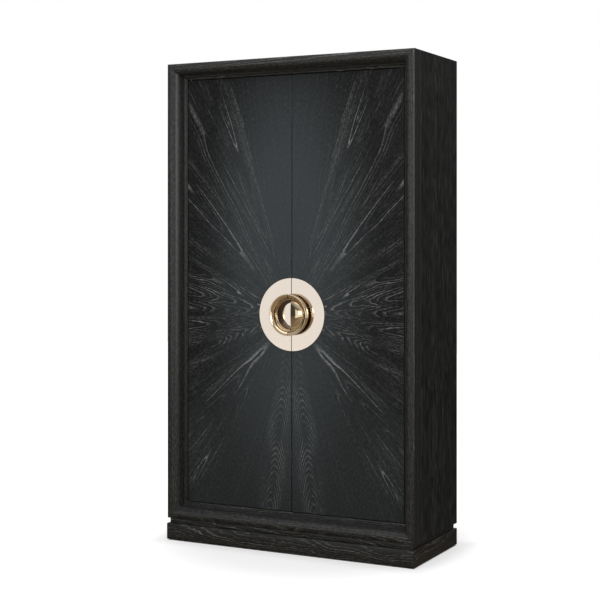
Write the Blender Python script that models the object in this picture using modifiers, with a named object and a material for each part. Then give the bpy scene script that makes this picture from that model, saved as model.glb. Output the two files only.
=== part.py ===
"""Tall two-door bar cabinet: mitred moulding, inset doors on knife pivots, round split plate and pull.

Metres, +Z up. The front faces -Y. The origin is at the centre of the floor outline.
"""

import math

import bmesh
import bpy
from mathutils import Matrix, Vector

# Overall size
WIDTH = 1.168
DEPTH = 0.483
HEIGHT = 2.083

# Clearances
SEAT_GAP = 0.0003
MITRE_GAP = 0.0003
DOOR_GAP = 0.003
CENTRE_GAP = 0.003
PIN_CLEARANCE = 0.0004
SHELF_SIDE_GAP = 0.0015

# Base
GLIDE_HEIGHT = 0.004
GLIDE_RADIUS = 0.010
GLIDE_INSET = 0.090
PLINTH_HEIGHT = 0.073
PLINTH_THICKNESS = 0.030
REVEAL_HEIGHT = 0.022
REVEAL_INSET = 0.011
REVEAL_THICKNESS = 0.030

# Carcass
PANEL_THICKNESS = 0.025
BACK_THICKNESS = 0.012
SHELF_THICKNESS = 0.022
SHELF_SETBACK = 0.005
SHELF_HEIGHT_LOW = 0.560
SHELF_HEIGHT_MIDDLE = 0.985
SHELF_HEIGHT_HIGH = 1.500
STOP_THICKNESS = 0.025
STOP_LAP = 0.020
STOP_END_GAP = 0.030
EDGE_SOFTENING = 0.0008

# Frame moulding section: width across the face, and depth from the front edge back
FRAME_FACE = 0.067
FRAME_DEPTH = 0.066
FRAME_ROLL_WIDTH = 0.017
FRAME_ROLL_DROP = 0.007
FRAME_SHOULDER = (0.050, 0.041)
FRAME_SHOULDER_BEND = (0.042, 0.003)
FRAME_QUIRK = 0.002
FRAME_COVE_BEND = (0.054, 0.055)
FRAME_BEAD_START = (0.061, 0.057)
FRAME_BEAD_BEND = (0.0665, 0.0565)
FRAME_LIP_DEPTH = 0.0625
ROLL_STEPS = 5
CURVE_STEPS = 7
BEAD_STEPS = 4

# Doors
DOOR_RECESS = 0.064
DOOR_THICKNESS = 0.025

# Knife pivots, let into the door's edges, the head rail and the deck
PIVOT_INSET = 0.012
PIVOT_SETBACK = 0.008
PIVOT_PIN_RADIUS = 0.0025
LEAF_LENGTH = 0.060
LEAF_START = 0.003
LEAF_WIDTH = 0.008
LEAF_THICKNESS = 0.003

# Round plate and pull
PULL_HEIGHT = 0.998
PLATE_RADIUS = 0.153
PLATE_THICKNESS = 0.002
PLATE_EDGE_ROUND = 0.0005
RING_OUTER_RADIUS = 0.086
RING_NECK_RADIUS = 0.072
RING_INNER_RADIUS = 0.0642
RING_FRONT = 0.038
RING_UNDERCUT = 0.0165
RING_EDGE_ROUND = 0.002
BEAD_RADIUS = 0.0018
BEAD_HEIGHT = 0.0085
DISH_FLOOR_RADIUS = 0.045
DISH_HEIGHT = 0.0085
DISH_TOE = 0.0008
DOME_FRONT = 0.0242
DOME_SHOULDER = 0.0085
FRONT_EDGE_STEPS = 3
REAR_EDGE_STEPS = 2
PULL_BEAD_STEPS = 6
LIP_STEPS = 8
DOME_STEPS = 12
TURN_STEPS = 72

# Fasteners and fittings
SCREW_ANGLE_DEG = 48.0
SCREW_CIRCLE_RADIUS = 0.0682
SCREW_RADIUS = 0.002
SCREW_BITE = 0.0065
SCREW_HEAD_RADIUS = 0.0045
SCREW_HEAD_HEIGHT = 0.0025
MAGNET_RADIUS = 0.005
MAGNET_LENGTH = 0.012
MAGNET_OFFSET = 0.045
STRIKE_RADIUS = 0.008
STRIKE_THICKNESS = 0.0015
SHELF_PIN_RADIUS = 0.003
SHELF_PIN_LENGTH = 0.020
SHELF_PIN_BITE = 0.010
SHELF_PIN_SETBACK = 0.050
ROUND_SIDES = 16

# Mesh making: the angles above which an edge stays sharp, and the distance that joins points
SHARP_ROUND_DEG = 35
SHARP_MOULDING_DEG = 30
MERGE_DISTANCE = 0.00001

# Planes and lines worked out from the sizes above
FRONT = -DEPTH / 2
BACK = DEPTH / 2
SIDE = WIDTH / 2
BODY_BOTTOM = PLINTH_HEIGHT + REVEAL_HEIGHT
BODY_HEIGHT = HEIGHT - BODY_BOTTOM
OPENING_SIDE = SIDE - FRAME_FACE
OPENING_BOTTOM = BODY_BOTTOM + FRAME_FACE
OPENING_TOP = HEIGHT - FRAME_FACE
DOOR_FRONT = FRONT + DOOR_RECESS
DOOR_BACK = DOOR_FRONT + DOOR_THICKNESS
DOOR_BOTTOM = OPENING_BOTTOM + DOOR_GAP
DOOR_TOP = OPENING_TOP - DOOR_GAP
DOOR_OUTER = OPENING_SIDE - DOOR_GAP
DOOR_INNER = CENTRE_GAP / 2
STOP_FRONT = DOOR_BACK + SEAT_GAP + STRIKE_THICKNESS + SEAT_GAP
STOP_BACK = STOP_FRONT + STOP_THICKNESS
BOX_FRONT = FRONT + FRAME_DEPTH + SEAT_GAP
INSIDE = SIDE - PANEL_THICKNESS
BACK_FRONT = BACK - BACK_THICKNESS
PLATE_BACK = DOOR_FRONT - SEAT_GAP
PLATE_FRONT = PLATE_BACK - PLATE_THICKNESS
PIVOT_X = DOOR_OUTER - PIVOT_INSET
PIVOT_Y = DOOR_FRONT + PIVOT_SETBACK
MAGNET_HEIGHT = DOOR_TOP - STOP_LAP / 2
STOP_END = PIVOT_X - STOP_END_GAP
SHELF_FRONT = STOP_BACK + SHELF_SETBACK

SIDES = {"left": -1, "right": 1}


def clear_scene():
    """Remove every object, so that the script can be run again."""
    for item in list(bpy.data.objects):
        bpy.data.objects.remove(item, do_unlink=True)


def new_collection(name):
    """Return a collection of this name, linked to the scene."""
    collection = bpy.data.collections.new(name)
    bpy.context.scene.collection.children.link(collection)
    return collection


def new_material(name, colour, roughness, metallic=0.0):
    """Return a Principled material."""
    material = bpy.data.materials.new(name)
    material.use_nodes = True
    shader = material.node_tree.nodes["Principled BSDF"]
    shader.inputs["Base Color"].default_value = (*colour, 1.0)
    shader.inputs["Roughness"].default_value = roughness
    shader.inputs["Metallic"].default_value = metallic
    return material


clear_scene()
PARTS = new_collection("bar_cabinet")
CUTTERS = new_collection("cutters")

MATERIALS = {
    "cerused_oak": ((0.035, 0.036, 0.038), 0.50, 0.0),
    "sunburst_veneer": ((0.040, 0.042, 0.045), 0.50, 0.0),
    "inside_oak": ((0.050, 0.046, 0.042), 0.55, 0.0),
    "back_ply": ((0.045, 0.040, 0.036), 0.60, 0.0),
    "champagne_plate": ((0.80, 0.74, 0.66), 0.15, 1.0),
    "polished_brass": ((0.72, 0.52, 0.30), 0.10, 1.0),
    "steel": ((0.55, 0.55, 0.56), 0.30, 1.0),
    "magnet": ((0.30, 0.30, 0.31), 0.35, 1.0),
    "glide_nylon": ((0.02, 0.02, 0.02), 0.60, 0.0),
}


def finish(item, kind, parent=None, bevel=0.0):
    """Give an object its own material, its parent and its softened edges.

    The material is made for this object alone, from the named kind.
    """
    colour, roughness, metallic = MATERIALS[kind]
    item.data.materials.append(new_material(item.name + "_" + kind, colour, roughness, metallic))
    if bevel:
        softened = item.modifiers.new("softened_edges", "BEVEL")
        softened.width = bevel
        softened.segments = 1
        softened.limit_method = "ANGLE"
    if parent is not None:
        item.parent = parent
        item.location -= parent.location
    return item


def link_mesh(name, shape, location, collection=None):
    """Turn a bmesh into a linked object at the given place."""
    bmesh.ops.recalc_face_normals(shape, faces=shape.faces)
    mesh = bpy.data.meshes.new(name)
    shape.to_mesh(mesh)
    shape.free()
    item = bpy.data.objects.new(name, mesh)
    item.location = location
    (collection or PARTS).objects.link(item)
    return item


def as_cutter(item):
    """Hide a cutting shape from renders and show it as wire."""
    item.hide_render = True
    item.display_type = "WIRE"
    return item


def make_box(name, low, high, collection=None):
    """Make a box between two corners, centred on its own origin."""
    low = Vector(low)
    size = Vector(high) - low
    shape = bmesh.new()
    bmesh.ops.create_cube(shape, size=1.0, matrix=Matrix.Diagonal((*size, 1.0)))
    return link_mesh(name, shape, low + size / 2, collection)


def make_rod(name, start, end, radius, collection=None):
    """Make a round bar between two points that lie along one axis."""
    start = Vector(start)
    run = Vector(end) - start
    turn = run.to_track_quat("Z", "Y").to_matrix().to_4x4()
    shape = bmesh.new()
    bmesh.ops.create_cone(
        shape,
        cap_ends=True,
        segments=ROUND_SIDES,
        radius1=radius,
        radius2=radius,
        depth=run.length,
        matrix=turn,
    )
    return smooth_round(link_mesh(name, shape, start + run / 2, collection))


def smooth_round(item):
    """Shade a round piece smooth, with its edges kept sharp."""
    item.data.shade_smooth()
    item.data.set_sharp_from_angle(angle=math.radians(SHARP_ROUND_DEG))
    return item


def add_boolean(item, cutter, operation="DIFFERENCE"):
    """Cut or join an object with another."""
    boolean = item.modifiers.new(operation.lower(), "BOOLEAN")
    boolean.operation = operation
    boolean.solver = "EXACT"
    boolean.object = cutter


def make_turned(name, profile, location):
    """Turn a profile of radius and height about the pull's axis, which points to the front.

    The profile runs down the outer side. A profile that starts on the axis also ends there.
    """
    shape = bmesh.new()
    points = [shape.verts.new((radius, 0.0, height)) for radius, height in profile]
    for first, second in zip(points, points[1:]):
        shape.edges.new((first, second))
    if profile[0][0] > 0.0:
        shape.edges.new((points[-1], points[0]))
    mesh = bpy.data.meshes.new(name)
    shape.to_mesh(mesh)
    shape.free()
    item = bpy.data.objects.new(name, mesh)
    PARTS.objects.link(item)
    item.location = location
    item.rotation_euler = (math.radians(90), 0.0, 0.0)
    screw = item.modifiers.new("turned", "SCREW")
    screw.axis = "Z"
    screw.angle = math.tau
    screw.steps = TURN_STEPS
    screw.render_steps = TURN_STEPS
    screw.use_merge_vertices = True
    screw.merge_threshold = MERGE_DISTANCE
    screw.use_smooth_shade = True
    return item


def keep_half(item, side):
    """Cut a turned piece at the gap between the doors and keep one side of it."""
    reach = PLATE_RADIUS * 2
    low, high = sorted((-side * reach, side * DOOR_INNER))
    cutter = make_box(
        item.name + "_half",
        (low, FRONT - reach, PULL_HEIGHT - reach),
        (high, DOOR_BACK + reach, PULL_HEIGHT + reach),
        CUTTERS,
    )
    add_boolean(item, as_cutter(cutter))
    return item


def bend(start, control, end, steps=CURVE_STEPS):
    """Return points along a quadratic curve, without its start."""
    points = []
    for step in range(1, steps + 1):
        t = step / steps
        points.append(
            tuple(
                (1 - t) ** 2 * a + 2 * t * (1 - t) * b + t**2 * c
                for a, b, c in zip(start, control, end)
            )
        )
    return points


def frame_section():
    """Return the moulding's outline as points of face width and depth from the front."""
    section = [(0.0, FRAME_DEPTH)]
    for step in range(ROLL_STEPS + 1):
        angle = math.radians(90) * step / ROLL_STEPS
        across = FRAME_ROLL_WIDTH * (1 - math.cos(angle))
        depth = FRAME_ROLL_DROP * (1 - math.sin(angle))
        section.append((across, depth))
    section += bend(section[-1], FRAME_SHOULDER_BEND, FRAME_SHOULDER)
    quirk = (FRAME_SHOULDER[0] + FRAME_QUIRK, FRAME_SHOULDER[1])
    section.append(quirk)
    section += bend(quirk, FRAME_COVE_BEND, FRAME_BEAD_START, BEAD_STEPS)
    section += bend(FRAME_BEAD_START, FRAME_BEAD_BEND, (FRAME_FACE, FRAME_LIP_DEPTH), BEAD_STEPS)
    section.append((FRAME_FACE, FRAME_DEPTH))
    return section


def make_moulding(name, length, corner, along, inward):
    """Sweep the frame section along one side of the opening and mitre both ends.

    The corner is the outer front corner that the member starts from. Along and inward are unit vectors.
    """
    back = Vector((0.0, 1.0, 0.0))
    trim = MITRE_GAP * math.sqrt(0.5)
    shape = bmesh.new()
    outline = frame_section()
    start = [shape.verts.new(inward * u + back * v + along * (u + trim)) for u, v in outline]
    face = shape.faces.new(start)
    swept = bmesh.ops.extrude_face_region(shape, geom=[face])
    for vert in (v for v in swept["geom"] if isinstance(v, bmesh.types.BMVert)):
        across = vert.co.dot(inward)
        vert.co += along * (length - 2 * (across + trim))
    bmesh.ops.recalc_face_normals(shape, faces=shape.faces)
    item = link_mesh(name, shape, corner)
    item.data.shade_smooth()
    item.data.set_sharp_from_angle(angle=math.radians(SHARP_MOULDING_DEG))
    return item


def make_mitred_board(name, outward, length, face_distance, thickness, bottom, top):
    """Make a base board with both ends mitred.

    Outward is the unit vector its outer face points along, and the face lies that distance from the centre.
    """
    trim = MITRE_GAP * math.sqrt(0.5)
    size = (length, thickness, top - bottom)
    shape = bmesh.new()
    bmesh.ops.create_cube(shape, size=1.0, matrix=Matrix.Diagonal((*size, 1.0)))
    for vert in shape.verts:
        depth_in = thickness / 2 + vert.co.y
        vert.co.x -= math.copysign(depth_in + trim, vert.co.x)
    centre = outward * (face_distance - thickness / 2)
    centre.z = (bottom + top) / 2
    item = link_mesh(name, shape, centre)
    item.rotation_euler = (0.0, 0.0, math.atan2(outward.x, -outward.y))
    return item


def build_sides():
    """Build the two side panels, bored for the shelf pins."""
    for word, side in SIDES.items():
        low, high = sorted((side * INSIDE, side * SIDE))
        panel = make_box("side_panel_" + word, (low, BOX_FRONT, BODY_BOTTOM), (high, BACK, HEIGHT))
        finish(panel, "cerused_oak", bevel=EDGE_SOFTENING)
        for label, (height, depth) in pin_places().items():
            bore = make_rod(
                f"shelf_pin_bore_{word}_{label}",
                (side * (INSIDE - SHELF_PIN_BITE), depth, height),
                (side * (INSIDE + SHELF_PIN_BITE + SEAT_GAP), depth, height),
                SHELF_PIN_RADIUS + SEAT_GAP,
                collection=CUTTERS,
            )
            add_boolean(panel, as_cutter(bore))


def build_box():
    """Build the top, the deck, the back and the head rail, and return the two that carry the pivots."""
    inner = INSIDE - SEAT_GAP
    back = BACK_FRONT - SEAT_GAP
    top_under = HEIGHT - PANEL_THICKNESS
    top = make_box("top_panel", (-inner, BOX_FRONT, top_under), (inner, back, HEIGHT))
    deck = make_box(
        "deck_panel",
        (-inner, BOX_FRONT, OPENING_BOTTOM - PANEL_THICKNESS),
        (inner, back, OPENING_BOTTOM),
    )
    rail = make_box(
        "head_rail",
        (-inner, BOX_FRONT, OPENING_TOP),
        (inner, STOP_BACK, top_under - SEAT_GAP),
    )
    rear = make_box("back_panel", (-inner, BACK_FRONT, BODY_BOTTOM), (inner, BACK, HEIGHT))
    finish(top, "cerused_oak", bevel=EDGE_SOFTENING)
    finish(deck, "inside_oak", bevel=EDGE_SOFTENING)
    finish(rail, "inside_oak", bevel=EDGE_SOFTENING)
    finish(rear, "back_ply", bevel=EDGE_SOFTENING)
    return {"top": rail, "bottom": deck}


def build_shelves():
    """Build the fixed middle shelf and the two loose ones."""
    back = BACK_FRONT - SEAT_GAP
    for word, height, gap in (
        ("low", SHELF_HEIGHT_LOW, SHELF_SIDE_GAP),
        ("middle", SHELF_HEIGHT_MIDDLE, SEAT_GAP),
        ("high", SHELF_HEIGHT_HIGH, SHELF_SIDE_GAP),
    ):
        shelf = make_box(
            "shelf_" + word,
            (-INSIDE + gap, SHELF_FRONT, height),
            (INSIDE - gap, back, height + SHELF_THICKNESS),
        )
        finish(shelf, "inside_oak", bevel=EDGE_SOFTENING)


def pin_places():
    """Return the height and depth of each shelf pin's centre on one side panel, by its label."""
    places = {}
    for shelf, under in (("low", SHELF_HEIGHT_LOW), ("high", SHELF_HEIGHT_HIGH)):
        height = under - SEAT_GAP - SHELF_PIN_RADIUS
        places[shelf + "_front"] = (height, SHELF_FRONT + SHELF_PIN_SETBACK)
        places[shelf + "_rear"] = (height, BACK_FRONT - SHELF_PIN_SETBACK)
    return places


def build_shelf_pins():
    """Build the brass pins that carry the two loose shelves."""
    for word, side in SIDES.items():
        for label, (height, depth) in pin_places().items():
            bored_end = INSIDE + SHELF_PIN_BITE
            pin = make_rod(
                f"shelf_pin_{word}_{label}",
                (side * bored_end, depth, height),
                (side * (bored_end - SHELF_PIN_LENGTH), depth, height),
                SHELF_PIN_RADIUS,
            )
            finish(pin, "polished_brass")


def build_frame():
    """Build the four mitred members of the picture-frame moulding."""
    right = Vector((1.0, 0.0, 0.0))
    up = Vector((0.0, 0.0, 1.0))
    low_left = Vector((-SIDE, FRONT, BODY_BOTTOM))
    low_right = Vector((SIDE, FRONT, BODY_BOTTOM))
    high_left = Vector((-SIDE, FRONT, HEIGHT))
    for member in (
        make_moulding("frame_left", BODY_HEIGHT, low_left, up, right),
        make_moulding("frame_right", BODY_HEIGHT, low_right, up, -right),
        make_moulding("frame_bottom", WIDTH, low_left, right, up),
        make_moulding("frame_top", WIDTH, high_left, right, -up),
    ):
        finish(member, "cerused_oak")


def build_stops():
    """Build the strips that the doors close against, and return the top one, which holds the magnets."""
    upper = make_box(
        "door_stop_top",
        (-STOP_END, STOP_FRONT, DOOR_TOP - STOP_LAP),
        (STOP_END, STOP_BACK, OPENING_TOP - SEAT_GAP),
    )
    lower = make_box(
        "door_stop_bottom",
        (-STOP_END, STOP_FRONT, OPENING_BOTTOM + SEAT_GAP),
        (STOP_END, STOP_BACK, DOOR_BOTTOM + STOP_LAP),
    )
    finish(upper, "inside_oak", bevel=EDGE_SOFTENING)
    finish(lower, "inside_oak", bevel=EDGE_SOFTENING)
    return upper


def build_base():
    """Build the recessed reveal, the plinth under it and the glides that touch the floor."""
    for word, outward, length, distance in (
        ("front", Vector((0.0, -1.0, 0.0)), WIDTH, DEPTH / 2),
        ("back", Vector((0.0, 1.0, 0.0)), WIDTH, DEPTH / 2),
        ("left", Vector((-1.0, 0.0, 0.0)), DEPTH, SIDE),
        ("right", Vector((1.0, 0.0, 0.0)), DEPTH, SIDE),
    ):
        reveal = make_mitred_board(
            "reveal_" + word,
            outward,
            length - 2 * REVEAL_INSET,
            distance - REVEAL_INSET,
            REVEAL_THICKNESS,
            PLINTH_HEIGHT + SEAT_GAP,
            BODY_BOTTOM - SEAT_GAP,
        )
        plinth = make_mitred_board(
            "plinth_" + word,
            outward,
            length,
            distance,
            PLINTH_THICKNESS,
            GLIDE_HEIGHT,
            PLINTH_HEIGHT,
        )
        finish(reveal, "cerused_oak")
        finish(plinth, "cerused_oak")
    for word, side in SIDES.items():
        for place, inward in (("front", 1), ("back", -1)):
            x = side * (SIDE - GLIDE_INSET)
            y = inward * (FRONT + PLINTH_THICKNESS / 2)
            glide = make_rod(
                f"glide_{place}_{word}",
                (x, y, 0.0),
                (x, y, GLIDE_HEIGHT - SEAT_GAP),
                GLIDE_RADIUS,
            )
            finish(glide, "glide_nylon")


def leaf_box(side, bottom, top, margin=0.0):
    """Return the corners of a pivot leaf, or of the recess it sits in when a margin is given."""
    outer = DOOR_OUTER - LEAF_START
    low, high = sorted((side * (outer + margin), side * (outer - LEAF_LENGTH - margin)))
    front = PIVOT_Y - LEAF_WIDTH / 2 - margin
    back = PIVOT_Y + LEAF_WIDTH / 2 + margin
    return (low, front, bottom), (high, back, top)


def cut_recess(item, name, side, edge, inward):
    """Let a pivot leaf into an edge. Inward is 1 when the wood lies above the edge and -1 when below."""
    bottom, top = sorted((edge - inward * LEAF_THICKNESS, edge + inward * (LEAF_THICKNESS + SEAT_GAP)))
    recess = make_box(name, *leaf_box(side, bottom, top, SEAT_GAP), CUTTERS)
    add_boolean(item, as_cutter(recess))


def build_pivots(carriers, door, axis, word, side):
    """Build a door's two knife pivots: a fixed leaf with its pin, and a door leaf with a hole for it."""
    x = side * PIVOT_X
    for place, door_edge, fixed_edge, up in (
        ("top", DOOR_TOP, OPENING_TOP, 1),
        ("bottom", DOOR_BOTTOM, OPENING_BOTTOM, -1),
    ):
        bottom, top = sorted((door_edge, door_edge - up * LEAF_THICKNESS))
        leaf = make_box(f"door_leaf_{word}_{place}", *leaf_box(side, bottom, top))
        hole = make_rod(
            f"door_leaf_hole_{word}_{place}",
            (x, PIVOT_Y, bottom - LEAF_THICKNESS),
            (x, PIVOT_Y, top + LEAF_THICKNESS),
            PIVOT_PIN_RADIUS + PIN_CLEARANCE,
            collection=CUTTERS,
        )
        add_boolean(leaf, as_cutter(hole))
        finish(leaf, "polished_brass", axis)
        cut_recess(door, f"door_recess_{word}_{place}", side, door_edge, -up)

        bottom, top = sorted((fixed_edge, fixed_edge + up * LEAF_THICKNESS))
        carrier = make_box(f"fixed_leaf_{word}_{place}", *leaf_box(side, bottom, top))
        pin = make_rod(
            f"fixed_leaf_pin_{word}_{place}",
            (x, PIVOT_Y, fixed_edge + up * LEAF_THICKNESS / 2),
            (x, PIVOT_Y, door_edge - up * LEAF_THICKNESS),
            PIVOT_PIN_RADIUS,
            collection=CUTTERS,
        )
        add_boolean(carrier, as_cutter(pin), "UNION")
        finish(carrier, "polished_brass")
        cut_recess(carriers[place], f"fixed_recess_{word}_{place}", side, fixed_edge, up)


def arc(centre, half_width, half_height, start_deg, end_deg, steps):
    """Return points along an elliptical arc, as radius and height."""
    points = []
    for step in range(steps + 1):
        angle = math.radians(start_deg + (end_deg - start_deg) * step / steps)
        radius = centre[0] + half_width * math.cos(angle)
        points.append((radius, centre[1] + half_height * math.sin(angle)))
    return points


def plate_profile():
    """Return the section of the round plate, with its front edge eased."""
    thickness = PLATE_THICKNESS
    return [
        (0.0, thickness),
        (PLATE_RADIUS - PLATE_EDGE_ROUND, thickness),
        (PLATE_RADIUS, thickness - PLATE_EDGE_ROUND),
        (PLATE_RADIUS, 0.0),
        (0.0, 0.0),
    ]


def ring_profile():
    """Return the section of the pull's ring: outer wall, undercut, neck, bead and rounded lip."""
    edge = RING_EDGE_ROUND
    outer = RING_OUTER_RADIUS
    neck = RING_NECK_RADIUS
    bead_centre = (RING_INNER_RADIUS + BEAD_RADIUS, BEAD_HEIGHT)
    lip_width = outer - edge - RING_INNER_RADIUS - 2 * BEAD_RADIUS
    lip_centre = (outer - edge, BEAD_HEIGHT)
    lip = arc(lip_centre, lip_width, RING_FRONT - BEAD_HEIGHT, 180, 90, LIP_STEPS)
    profile = arc((outer - edge, RING_FRONT - edge), edge, edge, 90, 0, FRONT_EDGE_STEPS)
    profile += arc((outer - edge, RING_UNDERCUT + edge), edge, edge, 0, -90, REAR_EDGE_STEPS)
    profile += arc((neck + edge, RING_UNDERCUT - edge), -edge, edge, 90, 0, REAR_EDGE_STEPS)
    profile += [(neck, SEAT_GAP), (RING_INNER_RADIUS, SEAT_GAP)]
    profile += arc(bead_centre, BEAD_RADIUS, BEAD_RADIUS, 180, 0, PULL_BEAD_STEPS)
    return profile + lip[1:-1]


def dish_profile():
    """Return the section of the sloping dish inside the left half of the ring."""
    outer = RING_INNER_RADIUS - SEAT_GAP
    return [
        (outer, DISH_HEIGHT),
        (outer, SEAT_GAP),
        (DISH_FLOOR_RADIUS, SEAT_GAP),
        (DISH_FLOOR_RADIUS, DISH_TOE),
    ]


def dome_profile():
    """Return the section of the low dome inside the right half of the ring."""
    outer = RING_INNER_RADIUS - SEAT_GAP
    rise = DOME_FRONT - DOME_SHOULDER
    crown = arc((0.0, DOME_SHOULDER), outer, rise, 90, 0, DOME_STEPS)
    crown[0] = (0.0, DOME_FRONT)
    return crown + [(outer, SEAT_GAP), (0.0, SEAT_GAP)]


def build_screws(drilled, axis, word, side):
    """Build the two screws that hold a half of the pull from behind, and drill what they pass through."""
    tip = PLATE_FRONT - SEAT_GAP - SCREW_BITE
    seat = DOOR_BACK + SEAT_GAP
    head_back = seat + SCREW_HEAD_HEIGHT
    for label, angle_deg in (("upper", SCREW_ANGLE_DEG), ("lower", -SCREW_ANGLE_DEG)):
        angle = math.radians(angle_deg)
        x = side * SCREW_CIRCLE_RADIUS * math.cos(angle)
        z = PULL_HEIGHT + SCREW_CIRCLE_RADIUS * math.sin(angle)
        name = f"pull_screw_{word}_{label}"
        screw = make_rod(name, (x, tip, z), (x, seat + SCREW_HEAD_HEIGHT / 2, z), SCREW_RADIUS)
        head = make_rod(
            name + "_head",
            (x, seat, z),
            (x, head_back, z),
            SCREW_HEAD_RADIUS,
            collection=CUTTERS,
        )
        add_boolean(screw, as_cutter(head), "UNION")
        finish(screw, "steel", axis)
        bore = make_rod(
            name + "_bore",
            (x, tip - SEAT_GAP, z),
            (x, head_back, z),
            SCREW_RADIUS + PIN_CLEARANCE,
            collection=CUTTERS,
        )
        for item in drilled:
            add_boolean(item, as_cutter(bore))


def build_pull(door, axis, word, side):
    """Build a door's half of the round plate and pull. The left half has a dish, the right half a dome."""
    plate = make_turned("plate_" + word, plate_profile(), (0.0, PLATE_BACK, PULL_HEIGHT))
    ring = make_turned("pull_ring_" + word, ring_profile(), (0.0, PLATE_FRONT, PULL_HEIGHT))
    if word == "left":
        insert = make_turned("pull_dish_left", dish_profile(), (0.0, PLATE_FRONT, PULL_HEIGHT))
    else:
        insert = make_turned("pull_dome_right", dome_profile(), (0.0, PLATE_FRONT, PULL_HEIGHT))
    build_screws((ring, plate, door), axis, word, side)
    for item in (plate, ring, insert):
        keep_half(item, side)
    finish(plate, "champagne_plate", axis)
    finish(ring, "polished_brass", axis)
    finish(insert, "polished_brass", axis)


def build_catch(stop, axis, word, side):
    """Build a door's magnetic catch: the magnet let into the stop and the strike on the door."""
    x = side * MAGNET_OFFSET
    magnet = make_rod(
        "magnet_" + word,
        (x, STOP_FRONT, MAGNET_HEIGHT),
        (x, STOP_FRONT + MAGNET_LENGTH, MAGNET_HEIGHT),
        MAGNET_RADIUS,
    )
    finish(magnet, "magnet")
    bore = make_rod(
        "magnet_bore_" + word,
        (x, STOP_FRONT - MAGNET_LENGTH, MAGNET_HEIGHT),
        (x, STOP_FRONT + MAGNET_LENGTH + SEAT_GAP, MAGNET_HEIGHT),
        MAGNET_RADIUS + SEAT_GAP,
        collection=CUTTERS,
    )
    add_boolean(stop, as_cutter(bore))
    strike_front = DOOR_BACK + SEAT_GAP
    strike = make_rod(
        "strike_" + word,
        (x, strike_front, MAGNET_HEIGHT),
        (x, strike_front + STRIKE_THICKNESS, MAGNET_HEIGHT),
        STRIKE_RADIUS,
    )
    finish(strike, "steel", axis)


def build_door(carriers, stop, word, side):
    """Build one door with its pivots, pull and catch, all carried on an empty at the hinge axis."""
    axis = bpy.data.objects.new(f"door_{word}_axis", None)
    axis.location = (side * PIVOT_X, PIVOT_Y, DOOR_BOTTOM)
    PARTS.objects.link(axis)
    low, high = sorted((side * DOOR_INNER, side * DOOR_OUTER))
    door = make_box("door_panel_" + word, (low, DOOR_FRONT, DOOR_BOTTOM), (high, DOOR_BACK, DOOR_TOP))
    finish(door, "sunburst_veneer", axis, bevel=EDGE_SOFTENING)
    build_pivots(carriers, door, axis, word, side)
    build_pull(door, axis, word, side)
    build_catch(stop, axis, word, side)


def main():
    """Build the cabinet."""
    build_sides()
    carriers = build_box()
    build_shelves()
    build_shelf_pins()
    build_frame()
    stop = build_stops()
    build_base()
    for word, side in SIDES.items():
        build_door(carriers, stop, word, side)


main()
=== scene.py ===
"""Looks of a tall two-door bar cabinet in black cerused oak, with a sunburst of veneer and a brass pull.

Metres, +Z up, front towards -Y. Each new piece lies where its solid lies and rides on that solid's body.
"""

from __future__ import annotations

import logging
import math
from dataclasses import dataclass
from enum import Enum
from typing import Any, Sequence

import bmesh
import bpy
from mathutils import Matrix, Vector

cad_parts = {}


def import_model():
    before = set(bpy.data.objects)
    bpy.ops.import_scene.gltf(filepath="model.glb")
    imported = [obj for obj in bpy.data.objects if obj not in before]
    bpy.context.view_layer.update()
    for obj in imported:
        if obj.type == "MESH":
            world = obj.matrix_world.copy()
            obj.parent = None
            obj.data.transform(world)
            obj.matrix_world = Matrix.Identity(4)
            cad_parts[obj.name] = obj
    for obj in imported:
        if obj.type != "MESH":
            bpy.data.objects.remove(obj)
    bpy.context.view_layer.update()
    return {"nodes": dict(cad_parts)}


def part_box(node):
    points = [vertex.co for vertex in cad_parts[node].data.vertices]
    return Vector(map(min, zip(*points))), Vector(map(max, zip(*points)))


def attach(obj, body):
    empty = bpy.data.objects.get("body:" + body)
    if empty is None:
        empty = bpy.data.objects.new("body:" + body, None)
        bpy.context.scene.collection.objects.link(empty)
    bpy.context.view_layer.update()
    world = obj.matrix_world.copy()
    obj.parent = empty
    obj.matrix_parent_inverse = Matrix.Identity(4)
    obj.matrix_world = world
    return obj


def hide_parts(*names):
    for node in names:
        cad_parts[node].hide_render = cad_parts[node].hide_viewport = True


LOG = logging.getLogger("bar_cabinet")
FRONT_VIEW = Vector((0.0, -1.0, 0.0))
MERGE_DISTANCE = 0.00001
NOISE = "ShaderNodeTexNoise"
MIX = "ShaderNodeMix"
LIME_ROUGHNESS = 0.25
GRAIN_RELIEF = 0.00025

Colour = tuple[float, float, float, float]
Pair = tuple[float, float]
Finish = bpy.types.Material
Shape = bmesh.types.BMesh
Tree = bpy.types.NodeTree
Socket = bpy.types.NodeSocket
Value = float | Socket
Shader = tuple[Finish, Tree, bpy.types.Node]


class Side(Enum):
    """The two halves of the cabinet, as the sign of X."""

    LEFT = -1
    RIGHT = 1

    @property
    def word(self) -> str:
        """The side's name as it stands in the names of pieces."""
        return self.name.lower()


class Grain(Enum):
    """The world axes that run across a board, along its grain and down into it."""

    UP_ON_SIDE = ("Y", "Z", "X")
    UP_ON_FRONT = ("X", "Z", "Y")
    LEVEL_ON_FRONT = ("Z", "X", "Y")
    LEVEL_ON_SIDE = ("Z", "Y", "X")
    LEVEL_ON_TOP = ("Y", "X", "Z")


def linear(hex_code: str) -> Colour:
    """Turn an sRGB hex colour such as "#1B1D1F" into linear RGBA with full alpha."""
    channels = (int(hex_code[place : place + 2], 16) / 255 for place in (1, 3, 5))
    return (*(c / 12.92 if c <= 0.04045 else ((c + 0.055) / 1.055) ** 2.4 for c in channels), 1.0)


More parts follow.
